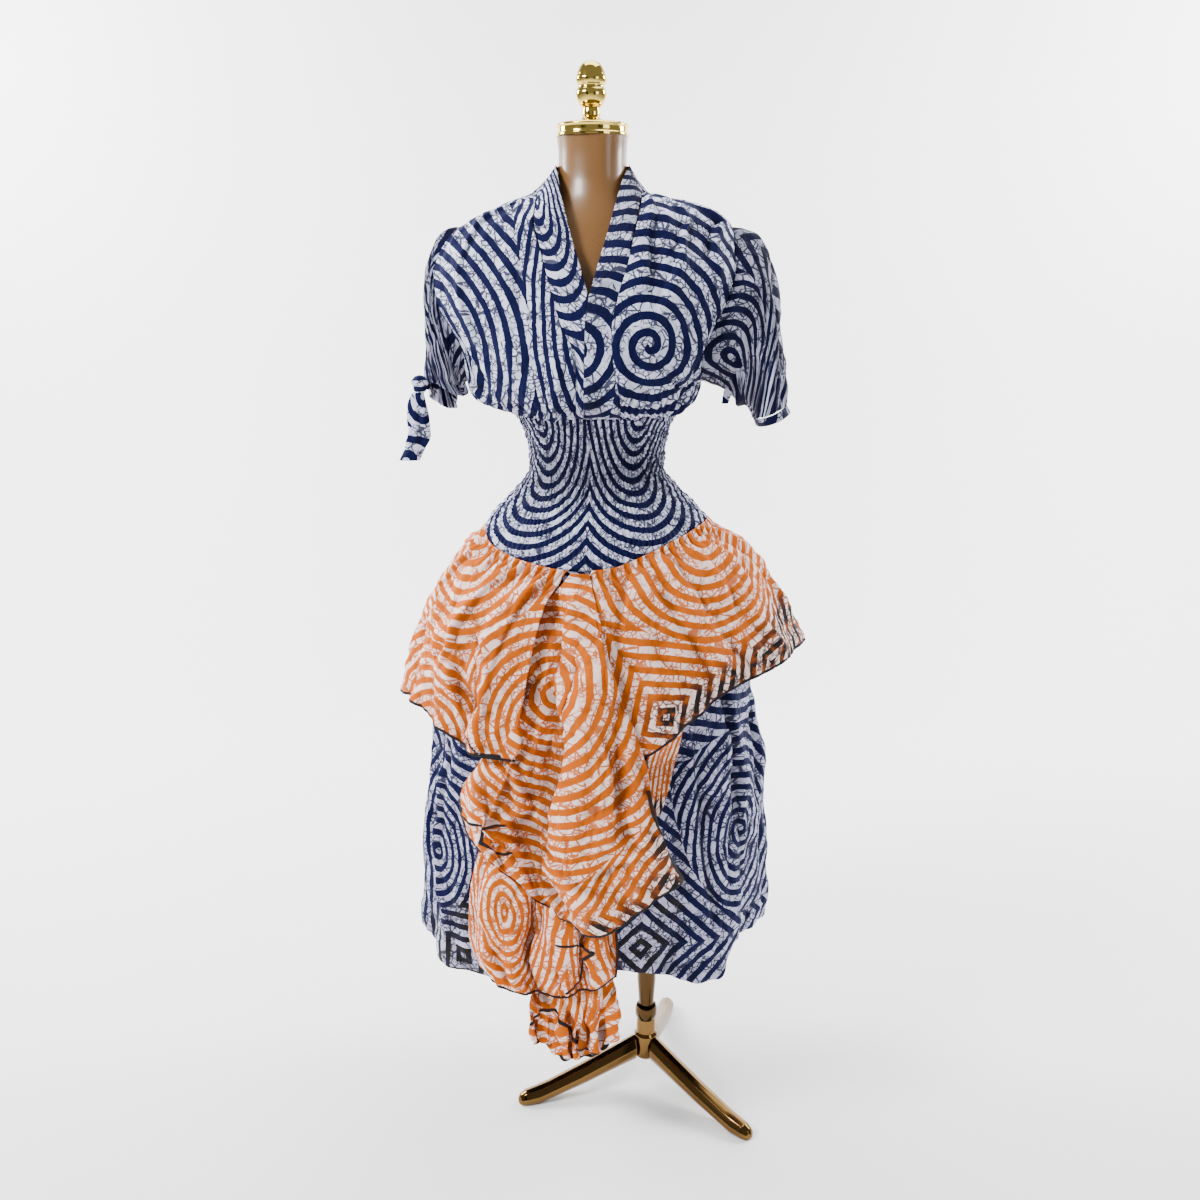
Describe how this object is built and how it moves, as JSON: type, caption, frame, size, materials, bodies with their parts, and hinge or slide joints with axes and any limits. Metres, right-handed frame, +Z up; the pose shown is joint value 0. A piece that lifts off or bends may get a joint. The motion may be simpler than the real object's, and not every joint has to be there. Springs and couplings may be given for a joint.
{
  "type": "handkerchief dress on a dress form",
  "caption": "Printed cotton dress with open V neck, shirred waist, draped overskirt and handkerchief underskirt, worn on a limbless dress form with a metal tripod stand.",
  "frame": {"origin": "on the floor under the middle of the whole part's bounding box", "axes": "+Z up, the dress's front faces -Y, the wearer's left side is towards +X"},
  "size_m": [0.6664, 0.5518, 1.7195],
  "materials": {
    "navy_print": "crisp printed cotton, navy on white",
    "orange_print": "crisp printed cotton, orange on white",
    "form_brown": "glossy brown lacquer",
    "polished_gold": "polished gold"
  },
  "bodies": {
    "root": {"waist_smocking": "navy_print", "bodice_front_right": "navy_print", "bodice_front_left": "navy_print", "bodice_back": "navy_print", "neck_band_right": "navy_print", "neck_band_left": "navy_print", "sleeve_right": "navy_print", "sleeve_left": "navy_print", "tie_end_left": "navy_print", "cuff_left": "navy_print", "tie_knot_right": "navy_print", "tie_end_right": "navy_print", "underskirt_front_right": "navy_print", "underskirt_front_left": "navy_print", "underskirt_back": "navy_print", "overskirt_front_right": "orange_print", "overskirt_front_left": "orange_print", "overskirt_back": "orange_print", "front_drape": "orange_print", "lower_panel": "orange_print", "tail_frill": "orange_print", "inset_left": "orange_print", "dress_form": "form_brown", "finial": "polished_gold", "neck_cap": "polished_gold", "stand_pole": "polished_gold", "pole_ring": "polished_gold", "stand_hub": "polished_gold", "stand_leg_right": "polished_gold", "stand_leg_left": "polished_gold", "stand_leg_back": "polished_gold"}
  },
  "joints": []
}
